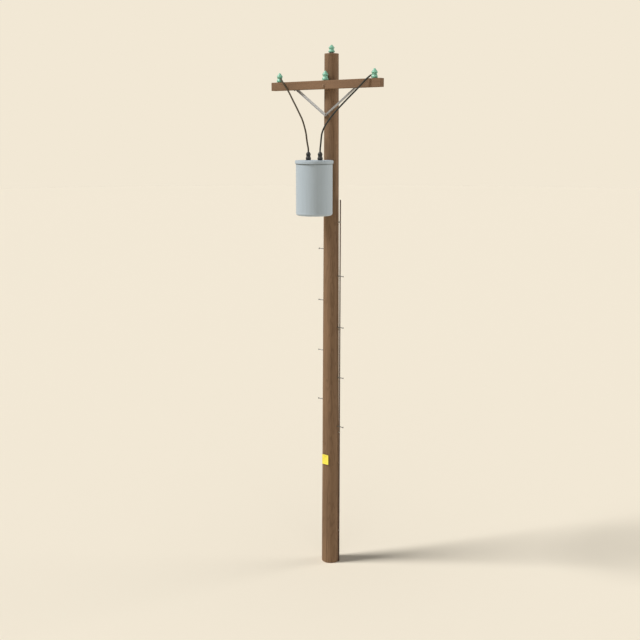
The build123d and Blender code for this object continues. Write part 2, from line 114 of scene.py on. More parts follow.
def timber(name, stations, shares, outline, place, checks):
    """A stick of wood lofted from end to end, with its drying checks as V-shaped grooves.

    outline(share, along) is a point of the section, and place(u, v, along) puts it in space.
    A check is (share of the way round, half width as a share, start, end, depth).
    """
    columns = [(share, None) for share in shares
               if all(abs(share - check[0]) > 1.5 * check[1] for check in checks)]
    for check in checks:
        columns += [(check[0] - check[1], None), (check[0], check), (check[0] + check[1], None)]
    columns.sort(key=lambda column: column[0])

    def depth_at(check, along):
        if check is None or not check[2] < along < check[3]:
            return 0.0
        return check[4] * sin(pi * (along - check[2]) / (check[3] - check[2])) ** 0.6

    end_rings = (0.2, 0.4, 0.6, 0.8, 0.93)
    sections = [(stations[0], shrink, 1) for shrink in end_rings]
    sections += [(along, 1, 0) for along in stations]
    sections += [(stations[-1], shrink, -1) for shrink in reversed(end_rings)]
    rows, grooves = [[place(0, 0, stations[0])]], [0.0]
    for along, shrink, push in sections:
        row = []
        for share, check in columns:
            u, v = outline(share, along)
            depth = depth_at(check, along)
            keep = (1 - depth / hypot(u, v)) * shrink
            row.append(place(u * keep, v * keep, along + push * depth * shrink))
            # The deeper a check here, the darker its groove is coloured: painted shade in the grooves.
            grooves.append(min(1.0, depth / groove_shade_depth))
        rows.append(row)
    made = make_object(name, skin(rows + [[place(0, 0, stations[-1])]]))
    groove = made.data.attributes.new("groove", "FLOAT", "POINT")
    groove.data.foreach_set("value", grooves + [0.0])
    return made


def pole_outline(share, z):
    turn = 2 * pi * share + 0.12 * sin(0.55 * z)
    lumps = noise.noise(Vector((1.3 * cos(turn), 1.3 * sin(turn), 0.8 * z)))
    ripple = noise.noise(Vector((7 * cos(turn), 7 * sin(turn), 2.4 * z)))
    r = pole_r(z) - 0.0008 + 0.0010 * lumps + 0.0005 * ripple
    r -= pole_edge * max(0.0, 1 - (pole_height - z) / pole_edge)
    u, v = r * cos(turn), r * sin(turn)
    if arm_low.z < z < arm_high.z:
        v = max(v, arm_high.y)
    return u, v


chance = Random(7)
pole_checks = []
for i in range(check_count):
    length = chance.uniform(0.7, 2.6)
    start = chance.uniform(-0.4, pole_height - length * 0.6)
    share = (i + chance.uniform(0.1, 0.8)) / check_count
    pole_checks.append((share, chance.uniform(0.0012, 0.0026), start, start + length,
                        chance.uniform(0.004, 0.012)))
pole_stations = [i * station_gap for i in range(int(pole_height / station_gap) + 1)]
pole_stations = [z for z in pole_stations
                 if min(abs(z - arm_low.z), abs(z - arm_high.z), pole_height - z) > 0.006]
for z in (arm_low.z, arm_high.z):
    pole_stations += [z - gain_step, z + gain_step]
pole_stations = sorted(pole_stations + [pole_height - pole_edge, pole_height])
pole = timber("pole_timber", pole_stations, steps(0, 1, pole_sides)[:-1], pole_outline,
              lambda u, v, z: (u, v, z), pole_checks)


def feed(tree, value, socket):
    """Link a socket to another one, or set it to a plain value."""
    if isinstance(value, bpy.types.NodeSocket):
        tree.links.new(value, socket)
    else:
        socket.default_value = value


def feed_all(tree, sockets, **values):
    """Feed sockets by name, with _ for the spaces in a name."""
    for key, value in values.items():
        feed(tree, value, sockets[key.replace("_", " ")])


def new_node(tree, kind, settings=(), in_order=(), **inputs):
    """A shader node, its inputs fed in order or by name with plain values or sockets to link."""
    made = tree.nodes.new(f"ShaderNode{kind}")
    for key, value in settings:
        setattr(made, key, value)
    for socket, value in zip(made.inputs, in_order):
        feed(tree, value, socket)
    feed_all(tree, made.inputs, **inputs)
    return made


def reckon(tree, operation, *values, clamp=False):
    """A Math node's result."""
    settings = (("operation", operation), ("use_clamp", clamp))
    return new_node(tree, "Math", settings, values).outputs[0]


def times(tree, one, two, plus=0.0, clamp=False):
    """One value times another, plus a third."""
    return reckon(tree, "MULTIPLY_ADD", one, two, plus, clamp=clamp)


def mix(tree, share, one, two, blend="MIX"):
    """A mix of two colours."""
    made = new_node(tree, "Mix", (("data_type", "RGBA"), ("blend_type", blend)))
    for number, value in ((0, share), (6, one), (7, two)):
        feed(tree, (*value, 1) if isinstance(value, tuple) else value, made.inputs[number])
    return made.outputs[2]


def brightened(tree, colour, share):
    """A colour times a share, which is a socket."""
    grey = new_node(tree, "CombineColor", in_order=(share, share, share)).outputs["Color"]
    return mix(tree, 1.0, colour, grey, "MULTIPLY")


def spread(tree, value, low, high, new_low=0.0, new_high=1.0):
    """A value's range eased onto a new one."""
    return new_node(tree, "MapRange", (("interpolation_type", "SMOOTHSTEP"),),
                    (value, low, high, new_low, new_high)).outputs["Result"]


def drawn_out(tree, vector, share):
    """Coordinates that change less along Z, so that what is drawn with them runs lengthwise."""
    return new_node(tree, "VectorMath", (("operation", "MULTIPLY"),),
                    (vector, (1, 1, share))).outputs[0]


def off_axis(tree, vector):
    """The distance from the Z axis."""
    return new_node(tree, "VectorMath", (("operation", "LENGTH"),),
                    (drawn_out(tree, vector, 0),)).outputs["Value"]


def cloudy(tree, vector, scale, detail=2.0, rough=0.5):
    """A soft noise from 0 to 1."""
    return new_node(tree, "TexNoise", Vector=vector, Scale=scale, Detail=detail,
                    Roughness=rough).outputs["Fac"]


def new_group(name, inputs, outputs):
    """A shader node group: its tree, its input sockets and the sockets for its results."""
    tree = bpy.data.node_groups.new(name, "ShaderNodeTree")
    for way, sockets in (("INPUT", inputs), ("OUTPUT", outputs)):
        for key, kind in sockets.items():
            tree.interface.new_socket(key, in_out=way, socket_type=f"NodeSocket{kind}")
    return tree, tree.nodes.new("NodeGroupInput").outputs, tree.nodes.new("NodeGroupOutput").inputs


def use_group(tree, group, **inputs):
    return new_node(tree, "Group", (("node_tree", group),), **inputs).outputs


# Wood grain: growth rings round a heart line along Z, long fibres, broad tone and a few knots.
finish = {"Color": "Color", "Roughness": "Float", "Height": "Float"}
grain, given, result = new_group("Wood Grain", {
    "Vector": "Vector", "Light": "Color", "Dark": "Color", "Rings": "Float", "Knots": "Float"}, finish)
where = given["Vector"]
warp = cloudy(grain, drawn_out(grain, where, 0.12), 9)
radius = times(grain, warp, 0.03, off_axis(grain, where))
rings = reckon(grain, "SINE", times(grain, radius, given["Rings"]))
late_wood = spread(grain, rings, 0.1, 1.0)
fibres = cloudy(grain, drawn_out(grain, where, 0.014), 300, 3, 0.65)
streaks = cloudy(grain, drawn_out(grain, where, 0.05), 45, 2, 0.6)
tone = cloudy(grain, drawn_out(grain, where, 0.35), 3.2)
spots = new_node(grain, "TexVoronoi", Vector=where, Scale=4.2).outputs
knots = times(grain, spread(grain, spots["Distance"], 0.14, 0.06), given["Knots"])
darkness = times(grain, late_wood, 0.26, times(grain, fibres, 0.42))
darkness = times(grain, streaks, 0.34, darkness, clamp=True)
colour = brightened(grain, mix(grain, darkness, given["Light"], given["Dark"]),
                    spread(grain, tone, 0.25, 0.75, 0.90, 1.10))
relief = times(grain, fibres, 0.7, times(grain, late_wood, 0.3))
feed_all(grain, result,
         Color=mix(grain, times(grain, knots, 0.7), colour, (0.035, 0.018, 0.010)),
         Roughness=spread(grain, fibres, 0.2, 0.8, 0.70, 0.88),
         Height=times(grain, knots, -0.8, relief))


def new_material(name, **sockets):
    """A material with one Principled shader: its tree, object coordinates and the shader."""
    made = bpy.data.materials.new(name)
    made.use_nodes = True
    tree = made.node_tree
    shader = tree.nodes["Principled BSDF"].inputs
    feed_all(tree, shader, **sockets)
    return made, tree, tree.nodes.new("ShaderNodeTexCoord").outputs["Object"], shader


def add_bump(tree, shader, height, distance, strength):
    made = new_node(tree, "Bump", Height=height, Distance=distance, Strength=strength)
    tree.links.new(made.outputs["Normal"], shader["Normal"])


def wood_material(name, light, dark, groove_shade_tint, ring_gap, knots, shift, turn=(0, 0, 0)):
    """Wood whose grain runs along the piece; shift and turn carry its heart line onto Z."""
    made, tree, place, shader = new_material(name, Specular_IOR_Level=0.25)
    mapped = new_node(tree, "Mapping", Vector=place, Location=shift, Rotation=turn)
    wood = use_group(tree, grain, Vector=mapped.outputs["Vector"], Light=(*light, 1),
                     Dark=(*dark, 1), Rings=2 * pi / ring_gap, Knots=knots)
    groove = new_node(tree, "Attribute", (("attribute_name", "groove"),)).outputs["Fac"]
    # The groove attribute darkens the checks towards their bottoms: painted shade in the grooves.
    colour = mix(tree, times(tree, groove, 0.8), wood["Color"], groove_shade_tint)
    feed_all(tree, shader, Base_Color=colour, Roughness=wood["Roughness"])
    add_bump(tree, shader, wood["Height"], 0.0012, 0.7)
    return made


def install(piece, material, node):
    """Give a piece its material, let it ride on the part and stand for its CAD node."""
    piece.data.materials.append(material)
    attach(piece, "root")
    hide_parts(node)


pole_wood = wood_material("Pole Wood", (0.262, 0.160, 0.090), (0.135, 0.078, 0.042),
                          (0.045, 0.026, 0.015), 0.004, 0.2, (0.012, -0.008, 0))
install(pole, pole_wood, "pole")


# ==== Crossarm ====
# A sawn timber with eased edges, let into the pole's flat and treated like the pole.
# Its ends show the growth rings, and it has a few short checks from drying.

arm_mid = (arm_low + arm_high) / 2
arm_planed = 0.0004
arm_half_deep = (arm_high.y - arm_low.y) / 2 - arm_planed
arm_half_high = (arm_high.z - arm_low.z) / 2 - arm_planed
arm_round = 0.006
arm_sides = 132


def rounded_rectangle(share, half_u, half_v, radius):
    """A point part of the way round a rectangle with round corners, from its lower right."""
    runs = (2 * (half_v - radius), 2 * (half_u - radius)) * 2
    bend = pi * radius / 2
    along = (share % 1) * (sum(runs) + 4 * bend)
    for side, run in enumerate(runs):
        u = (half_u - radius) * (1, 1, -1, -1)[side]
        v = (half_v - radius) * (-1, 1, 1, -1)[side]
        turn = (side - 1) * pi / 2 + min(along, bend) / radius
        past = max(0.0, along - bend)
        if past <= run or side == 3:
            return (u + radius * cos(turn) - past * sin(turn),
                    v + radius * sin(turn) + past * cos(turn))
        along = past - run


def arm_outline(share, x):
    u, v = rounded_rectangle(share, arm_half_deep, arm_half_high, arm_round)
    sawn = 1 + 0.006 * noise.noise(Vector((9 * x, 14 * u, 14 * v)))
    return u * sawn, v * sawn


arm_ends = [0.0, 0.004, 0.012, 0.03]
arm_stations = [arm_low.x + s for s in arm_ends]
arm_stations += steps(arm_low.x + 0.07, arm_high.x - 0.07, 48)
arm_stations += [arm_high.x - s for s in reversed(arm_ends)]
arm_checks = [
    (0.085, 0.0022, -1.40, -0.62, 0.010), (0.17, 0.0022, 0.70, 1.45, 0.012),
    (0.335, 0.0020, -1.38, -0.80, 0.009), (0.40, 0.0020, 0.25, 1.00, 0.006),
    (0.585, 0.0020, -0.95, -0.30, 0.006), (0.63, 0.0022, 0.86, 1.40, 0.011),
    (0.845, 0.0020, 0.92, 1.36, 0.008), (0.90, 0.0022, -1.42, -0.98, 0.009),
]
arm = timber("crossarm_timber", arm_stations, steps(0, 1, arm_sides)[:-1], arm_outline,
             lambda u, v, x: (x, arm_mid.y + u, arm_mid.z + v), arm_checks)
arm_wood = wood_material("Arm Wood", (0.256, 0.153, 0.087), (0.160, 0.091, 0.050),
                         (0.050, 0.030, 0.018), 0.007, 0.08, (-8.50, 0.09, 0), (0, pi / 2, 0))
install(arm, arm_wood, "crossarm")


# ==== Bolts and washers ====
# Galvanised machine bolts with forged hexagon heads and rolled threads. The square washers at
# the back are bent to the pole, the one on the arm is flat, and a wrench draws the nuts tight.

bolt_r = 0.008
head_share = 1.3
bolt_tail = 0.014
washer_thick = 0.005
seat_gap = 0.0003
thread_pitch = 0.002
thread_root = 0.9


def middle(node):
    """The middle of a CAD node's box."""
    low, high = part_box(node)
    return [(a + b) / 2 for a, b in zip(low, high)]


def turned(profile, segments=32, closed=False, carve=None):
    """A shape turned about Z from a list of (radius, height); carve may move a point."""
    rows = []
    for r, z in profile:
        row = []
        for turn in steps(0, 2 * pi, segments)[:-1] if r else [0]:
            at_r, at_z = carve(r, z, turn) if carve and r else (r, z)
            row.append((at_r * cos(turn), at_r * sin(turn), at_z))
        rows.append(row)
    return skin(rows, closed)


def moved(shape, matrix):
    return [matrix @ Vector(p) for p in shape[0]], shape[1]


def upright(x, y, z=0):
    return Matrix.Translation((x, y, z))


def aim(x, y, z, toward):
    """The placing that stands a shape made along Z on a point, facing a direction."""
    return upright(x, y, z) @ Vector(toward).to_track_quat("Z", "Y").to_matrix().to_4x4()


def join(*shapes):
    points, faces = [], []
    for shape_points, shape_faces in shapes:
        faces += [tuple(i + len(points) for i in face) for face in shape_faces]
        points += shape_points
    return points, faces


def hexagon(corner, high):
    """A bolt head or nut: six flats, with its outer corners turned off."""
    flat = corner * cos(pi / 6)
    crown = 0.95 * flat

    def six_flats(r, z, turn):
        if r == crown:
            return r, z
        r = flat / cos((turn % (pi / 3)) - pi / 6)
        return r, min(z, high - (r - crown) * tan(radians(30)))

    return turned([(0, 0), (flat, 0), (flat, high), (crown, high), (0, high)], 48, carve=six_flats)


def threads(radius, start, end):
    """Profile points of a rolled thread, cut to a small point at its end."""
    turns = max(2, int((end - start) / thread_pitch))
    made = []
    for z in steps(start, end, turns)[:-1]:
        made += [(radius * thread_root, z), (radius, z + 0.5 * (end - start) / turns)]
    return made + [(radius * 0.86, end)]


def shank(radius, plain, threaded, end, tip):
    """A bolt's round shank: plain up to a height, its thread from the next to the end, and a tip."""
    profile = [(0, 0), (radius, 0), (radius, plain)] + threads(radius, threaded, end) + [(0, tip)]
    return turned(profile, 24)


def slab(us, vs, near, far):
    """A closed shell between two surfaces over one grid, each given as surface(u, v)."""
    points = [face(u, v) for face in (near, far) for u in us for v in vs]
    rows, cols = len(us), len(vs)
    starts = [base + i * cols for base in (0, rows * cols) for i in range(rows - 1)]
    faces = [(at, at + 1, at + cols + 1, at + cols)
             for start in starts for at in range(start, start + cols - 1)]
    border = list(range(cols)) + [i * cols + cols - 1 for i in range(1, rows)]
    border += [(rows - 1) * cols + j for j in range(cols - 2, -1, -1)]
    border += [i * cols for i in range(rows - 2, 0, -1)]
    for one, two in zip(border, border[1:] + border[:1]):
        faces.append((one, two, two + rows * cols, one + rows * cols))
    return points, faces


def on_pole(x, z, side):
    """The pole's face at a height, on the tank's side (-1) or behind (1)."""
    return side * sqrt((pole_r(z) + seat_gap) ** 2 - x * x)


def saddle(half_wide, z_low, z_high, face_y, side):
    """A plate with one flat face and one that follows the pole."""
    return slab(steps(-half_wide, half_wide, 10), steps(z_low, z_high, 2),
                lambda x, z: (x, on_pole(x, z, side), z), lambda x, z: (x, face_y, z))


def build(name, shape, sharp, material, node, ease=0):
    """Make a piece from its shape and install it, perhaps with its edges eased by a bevel."""
    piece = make_object(name, shape, sharp)
    if ease:
        bevel = piece.modifiers.new("eased edges", "BEVEL")
        bevel.width = ease
        bevel.segments = 2
        bevel.limit_method = "ANGLE"
        bevel.angle_limit = radians(40)
        bevel.harden_normals = True
    install(piece, material, node)


def pole_bolt(node, flat_washer=False):
    """The shapes of a bolt right through the pole, from the box of its CAD node."""
    low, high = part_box(node)
    z, half, head = middle(node)[2], high.x, head_share * bolt_r
    seat = low.y + head
    nut_y = high.y - bolt_tail - head
    length = high.y - seat
    thread_start = length - head - 3 * bolt_tail
    shapes = [
        moved(hexagon(2 * bolt_r, head), aim(0, seat, z, (0, -1, 0))),
        moved(shank(bolt_r, thread_start, thread_start, length, length), aim(0, seat, z, (0, 1, 0))),
        moved(hexagon(2 * bolt_r, head), aim(0, nut_y, z, (0, 1, 0))),
        saddle(half, z - half, z + half, nut_y, 1),
    ]
    if flat_washer:
        shapes.append(slab((-half, half), (z - half, z + half), lambda x, h: (x, seat, h),
                           lambda x, h: (x, seat + washer_thick, h)))
    return shapes


# Hot-dip zinc: a crystal spangle, duller patches and a slightly uneven skin.
zinc, given, result = new_group("Hot Dip Zinc", {
    "Vector": "Vector", "Tint": "Color", "Spangle": "Float", "Dull": "Float"}, finish)
where = given["Vector"]
flakes = new_node(zinc, "TexVoronoi", Vector=where, Scale=given["Spangle"])
flake = new_node(zinc, "SeparateColor", Color=flakes.outputs["Color"]).outputs["Red"]
patch = spread(zinc, cloudy(zinc, where, 22, 3), 0.42, 0.62)
bright = times(zinc, flake, 0.20, 0.88)
bright = times(zinc, times(zinc, patch, given["Dull"]), -0.25, bright)
flake_rough = times(zinc, flake, 0.08, 0.38)
feed_all(zinc, result, Color=brightened(zinc, given["Tint"], bright),
         Roughness=times(zinc, patch, 0.18, flake_rough),
         Height=times(zinc, cloudy(zinc, where, 160), 0.5, flake))


def zinc_material(name, tint, spangle, dull, metallic=0.75):
    made, tree, place, shader = new_material(name, Metallic=metallic)
    coat = use_group(tree, zinc, Vector=place, Tint=(*tint, 1), Spangle=spangle, Dull=dull)
    feed_all(tree, shader, Base_Color=coat["Color"], Roughness=coat["Roughness"])
    add_bump(tree, shader, coat["Height"], 0.00012, 0.6)
    return made


galvanised = zinc_material("Galvanised Bolts", (0.20, 0.155, 0.12), 110, 0.8, 0.5)


def steel_piece(node, shapes, material=galvanised):
    """A piece joined from its shapes, which stands for its CAD node."""
    build(f"{node}_steel", join(*shapes), 30, material, node)


# The arm's bolt is rust-brown like the wood, and coloured lighter to make up for the shade its washer
# and nut cast: painted light.
rust_brown_lightened = zinc_material("Crossarm Bolt", (0.270, 0.165, 0.096), 110, 0.5, 0.15)
steel_piece("crossarm_bolt", pole_bolt("crossarm_bolt", True), rust_brown_lightened)
for node in ("brace_bolt", "hanger_bolt_upper", "hanger_bolt_lower"):
    steel_piece(node, pole_bolt(node))


# ==== V brace ====
# Two galvanised angle bars, mitred where they meet and cut level under the arm, each with a
# flat foot. One bolt holds the V to the pole over a pipe sleeve that brings it out under the
# arm's middle, and a lag bolt goes up through each foot.

brace_leg = 0.038
brace_thick = 0.005
brace_root = 0.004
brace_reach = 0.587
foot_bolt_r = 0.006
sides = {"left": -1, "right": 1}
brace_low, brace_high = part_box("brace_right")
brace_back = brace_high.y
brace_tip = brace_low.z
brace_rise = arm_low.z - brace_tip
brace_slope = atan2(brace_rise, brace_reach)
brace_slope -= brace_leg / 2 / hypot(brace_rise, brace_reach)
# The two bars are the same zinc, but the left one is coloured lighter and the right one darker:
# painted light and painted shade.
brace_zinc_lit_and_shaded = {
    "left": zinc_material("Left Brace Zinc Painted Light", (0.48, 0.475, 0.46), 85, 0.5, 0.25),
    "right": zinc_material("Right Brace Zinc Painted Shade", (0.335, 0.335, 0.33), 85, 0.5, 0.25),
}


def arc(at_r, at_z, wide, start, end, count, tall=None):
    """Profile points along an arc, or along part of an oval that is wide by tall."""
    return [(at_r + wide * cos(t), at_z + (tall or wide) * sin(t)) for t in steps(start, end, count)]


# The bar's section, as distance out from the pole and height along the cut at the mitre.
toe = 0.002
root_at = brace_thick + brace_root
brace_section = [
    (0, 0), (brace_leg - toe, 0), (brace_leg, 0.0015), (brace_leg, brace_thick - toe),
    (brace_leg - toe, brace_thick), *arc(root_at, root_at, brace_root, -pi / 2, -pi, 4),
    (brace_thick, brace_leg - toe), (brace_thick - toe, brace_leg), (0.001, brace_leg),
    (0, brace_leg - 0.001)]
for name, side in sides.items():
    rows = []
    for share in steps(0, 1, 6):
        row = []
        for out, up in brace_section:
            rise = up / cos(brace_slope)
            x = share * (brace_rise - rise) / tan(brace_slope)
            row.append((side * x, brace_back - out, brace_tip + rise + x * tan(brace_slope)))
        rows.append(row)
    middles = [sum((Vector(p) for p in row), Vector()) / len(row) for row in (rows[0], rows[-1])]
    bar = skin([[middles[0]]] + rows + [[middles[1]]])
    foot_xs = steps(side * (brace_reach - brace_leg / 2), side * brace_high.x, 3)
    foot = slab(foot_xs, (brace_back - brace_leg, brace_back),
                lambda x, y: (x, y, arm_low.z - brace_thick), lambda x, y: (x, y, arm_low.z))
    build(f"brace_{name}_angle", join(bar, foot), 35, brace_zinc_lit_and_shaded[name],
          f"brace_{name}", 0.0007)

    node = f"brace_foot_bolt_{name}"
    low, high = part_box(node)
    x, y, _ = middle(node)
    head = head_share * foot_bolt_r
    length = high.z - low.z - head
    lag = shank(foot_bolt_r, brace_thick + 0.030, brace_thick + 0.032, length - 0.008, length)
    steel_piece(node, [
        moved(hexagon(2 * foot_bolt_r, head), aim(x, y, low.z + head, (0, 0, -1))),
        moved(lag, aim(x, y, low.z + head, (0, 0, 1)))])

# The pipe sleeve, sawn off square in front and to the pole's round at the back.
pipe_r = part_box("brace_spacer")[1].x
pipe_z = middle("brace_spacer")[2]
bore = bolt_r + 0.0004
rows = []
for radius, back in ((bore, 0), (pipe_r - 0.0015, 0), (pipe_r, 0.0015), (pipe_r, None), (bore, None)):
    row = []
    for turn in steps(0, 2 * pi, 40)[:-1]:
        x, z = radius * cos(turn), pipe_z + radius * sin(turn)
        row.append((x, on_pole(x, z, -1) if back is None else brace_back + back, z))
    rows.append(row)
steel_piece("brace_spacer", [skin(rows, closed=True)])


# ==== Insulator pins ====
# Forged steel pins, darker than the bolts: a threaded top for the glass, a round flange that
# sits on the wood and a shank screwed down into it.

pin_r = 0.0095
pin_head_r = 0.0125
glass_gap = 0.0015
# Each pin: its flange's radius and thickness, and the height of its glass.
pins = dict.fromkeys(("left", "center", "right"), (0.030, 0.005, 0.153))
pins["top"] = (0.038, 0.020, 0.124)
pin_zinc = zinc_material("Pin Zinc", (0.15, 0.155, 0.15), 60, 0.6, 0.7)
for name, (flange_r, flange, _) in pins.items():
    node = f"pin_{name}"
    low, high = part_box(node)
    x, y, _ = middle(node)
    seat = pole_height if name == "top" else arm_high.z
    top = seat + flange
    profile = [(0, low.z), (pin_r * 0.9, low.z), (pin_r, low.z + 0.002), (pin_r, seat),
               (flange_r, seat), (flange_r, seat + 0.6 * flange),
               (flange_r * 0.94, seat + flange * 0.9), (flange_r * 0.88, top),
               (pin_head_r + 0.004, top), (pin_head_r, top + 0.004)]
    profile += threads(pin_head_r, top + 0.02, high.z) + [(0, high.z)]
    steel_piece(node, [moved(turned(profile, 40), upright(x, y))], pin_zinc)


# ==== Glass insulators ====
# Pressed sea-green glass, screwed down on the pins: a pointed head, a groove for the wire and a
# hollow skirt with drip points. The mould left a faint seam up both sides.

glass_full = 0.153
skirt_r = 0.0545
bore_r = 0.0465
neck_r = 0.039
neck_z = 0.061
head_r = 0.0515
groove_half = 0.011
pin_hole_r = 0.0129
core_r = 0.024
drip_points = 32


def curve_through(points, per=7):
    """Points along a smooth line through the given (radius, height) points."""
    made = []
    spots = [points[0], *points, points[-1]]
    for spot in zip(spots, spots[1:], spots[2:], spots[3:]):
        for t in steps(0, 1, per)[:-1]:
            made.append(tuple(
                0.5 * (2 * b + (c - a) * t + (2 * a - 5 * b + 4 * c - d) * t ** 2
                       + (3 * b - a - 3 * c + d) * t ** 3)
                for a, b, c, d in zip(*spot)))
    return made + [tuple(points[-1])]


def mould_marks(r, z, turn):
    """A seam up both sides, and drip points round the skirt's rim."""
    if r > 0.02 and z > 0.004 and min(turn % pi, pi - turn % pi) < 0.03:
        r += 0.0004
    if r > bore_r and z < 0.0005:
        z -= 0.0011 * max(0.0, cos(drip_points * turn))
    return r, z


def insulator_profile(grow):
    """The glass from the top of its thread, down the skirt's inside and up the outside."""
    neck, head, cup_z = neck_z * grow, 0.092 * grow, 0.026 * grow
    core = [(0, 0.078 * grow), (pin_hole_r, 0.078 * grow), (pin_hole_r, 0.0105 * grow),
            (pin_hole_r + 0.002, 0.010 * grow), (core_r - 0.001, 0.010 * grow),
            (core_r, 0.012 * grow), (core_r, cup_z)]
    cup_r = (core_r + bore_r) / 2
    cup = arc(cup_r, cup_z, cup_r - core_r, radians(150), 0, 5, 0.006 * grow)
    rim_r = (skirt_r + bore_r) / 2
    rim = [(rim_r - 0.0018, 0.010 * grow), (rim_r - 0.0008, 0.0012), (rim_r - 0.0004, 0.0002),
           (rim_r + 0.0004, 0.0002)]
    skirt = curve_through([(rim_r + 0.0012, 0.0014), (skirt_r - 0.0012, 0.007 * grow),
                           (skirt_r, 0.020 * grow), (0.0470, 0.037 * grow),
                           (neck_r, neck - groove_half)])
    cone = curve_through([(neck_r, neck + groove_half), (0.0480, neck + 0.020 * grow),
                          (head_r, head), (0.58 * head_r, head + 0.0305 * grow),
                          (0.35 * head_r, head + 0.0488 * grow), (0.004, 0.1525 * grow)])
    return core + cup + rim + skirt + [(neck_r, neck)] + cone + [(0, glass_full * grow)]


glass, tree, place, shader = new_material("Sea Glass", Roughness=0.33, IOR=1.5,
                                          Transmission_Weight=0.08)
feed_all(tree, shader,
         Base_Color=mix(tree, cloudy(tree, place, 14), (0.200, 0.490, 0.345), (0.250, 0.560, 0.410)))
add_bump(tree, shader, cloudy(tree, place, 70), 0.0006, 0.5)
for name, (_, _, glass_high) in pins.items():
    node = f"insulator_{name}"
    x, y, _ = middle(node)
    shape = turned(insulator_profile(glass_high / glass_full), 128, carve=mould_marks)
    build(f"{node}_glass", moved(shape, upright(x, y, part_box(node)[0].z)), 50, glass,
          node)


# ==== Wire ties ====
# Soft tie wire, wound nearly four times round the glass in its groove, with a pressed ferrule
# that grips the bared end of the lead.

tie_wire_r = 0.002
sleeve_r = 0.008
lead_r = 0.014
lead_points = {
    "left": [
        (-0.122, -0.490, -1.083), (-0.122, -0.490, -1.042), (-0.138, -0.488, -0.988),
        (-0.160, -0.482, -0.905), (-0.185, -0.468, -0.794), (-0.233, -0.450, -0.682),
        (-0.299, -0.424, -0.561), (-0.387, -0.391, -0.461), (-0.476, -0.358, -0.353),
        (-0.574, -0.321, -0.247), (-0.662, -0.294, -0.135), (-0.745, -0.281, -0.031),
        (-0.834, -0.284, 0.079), (-0.921, -0.217, 0.124)],
    "right": [
        (0.122, -0.490, -1.083), (0.122, -0.490, -1.042), (0.131, -0.489, -0.988),
        (0.138, -0.485, -0.898), (0.146, -0.477, -0.791), (0.192, -0.460, -0.680),
        (0.260, -0.436, -0.579), (0.336, -0.408, -0.478), (0.427, -0.378, -0.379),
        (0.518, -0.350, -0.287), (0.611, -0.323, -0.194), (0.704, -0.303, -0.110),
        (0.792, -0.293, -0.031), (0.884, -0.293, 0.051), (0.933, -0.225, 0.117)],
}


def lead_route(name):
    return [Vector((x, y, arm_mid.z + z)) for x, y, z in lead_points[name]]


def tube(path, radii, segments=8):
    """A round bar along points, with a radius at each, its ends closed."""
    path = [Vector(p) for p in path]
    rows = [[path[0]]]
    side = (path[1] - path[0]).orthogonal()
    for i, (spot, r) in enumerate(zip(path, radii)):
        ahead = (path[min(i + 1, len(path) - 1)] - path[max(i - 1, 0)]).normalized()
        side = (side - ahead * side.dot(ahead)).normalized()
        other = ahead.cross(side)
        rows.append([spot + r * (cos(t) * side + sin(t) * other)
                     for t in steps(0, 2 * pi, segments)[:-1]])
    return skin(rows + [[path[-1]]])


tie_copper = zinc_material("Green Copper Tie", (0.24, 0.47, 0.35), 90, 0.5, 0.3)
wind_r = neck_r + seat_gap + tie_wire_r
wind_pitch = 0.0041
for name, side in sides.items():
    x = side * 0.973
    neck = arm_high.z + pins[name][1] + glass_gap + neck_z
    before, end = lead_route(name)[-2:]
    away = (end - before).normalized()
    toward_lead = atan2(end.y - arm_mid.y, end.x - x)
    coil = [(x + wind_r * cos(toward_lead + t), arm_mid.y + wind_r * sin(toward_lead + t),
             neck + wind_pitch * (t / (2 * pi) - 1.85)) for t in steps(0.4, 7.4 * pi, 180)]
    reach = (hypot(end.x - x, end.y - arm_mid.y) - neck_r - 0.002) / hypot(away.x, away.y)
    sleeve = [(0, 0), (sleeve_r * 0.95, 0), (sleeve_r, 0.0008)]
    for crimp in (0.25, 0.5, 0.75):
        z = reach * crimp
        sleeve += [(sleeve_r, z - 0.004), (sleeve_r * 0.9, z - 0.002), (sleeve_r * 0.9, z + 0.002),
                   (sleeve_r, z + 0.004)]
    sleeve += [(sleeve_r, reach - 0.0008), (sleeve_r * 0.94, reach), (0, reach)]
    shapes = [tube(coil, [tie_wire_r] * len(coil), 10), moved(turned(sleeve), aim(*end, away))]
    build(f"tie_{name}_wire", join(*shapes), 40, tie_copper, f"tie_{name}")


# ==== Transformer tank ====
# A rolled steel shell with a pressed bottom welded on, and a lid with a deep rolled rim that
# drops over it. All of it is sprayed light grey, a little chalky and streaked from rain.

shell_low, shell_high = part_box("tank_shell")
lid_low, lid_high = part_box("tank_lid")
tank_y = middle("tank_shell")[1]
tank_r = shell_high.x
tank_bottom_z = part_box("tank_bottom")[0].z
tank_wall = 0.004
tank_corner = shell_low.z - tank_bottom_z
lid_r = lid_high.x
lid_round = 0.014
press_r = 0.285
press_deep = 0.0008
tank_axis = upright(0, tank_y)


def bead(at_r, start_z, end_z, out, count):
    """Profile points of a bead that stands out of a wall, from one height to another."""
    return [(at_r + out * sin(t), start_z + (end_z - start_z) * t / pi) for t in steps(0, pi, count)]


def weld_ripple(r, z, turn):
    if r > tank_r + 0.0002:
        r += 0.0003 * sin(150 * turn)
    return r, z


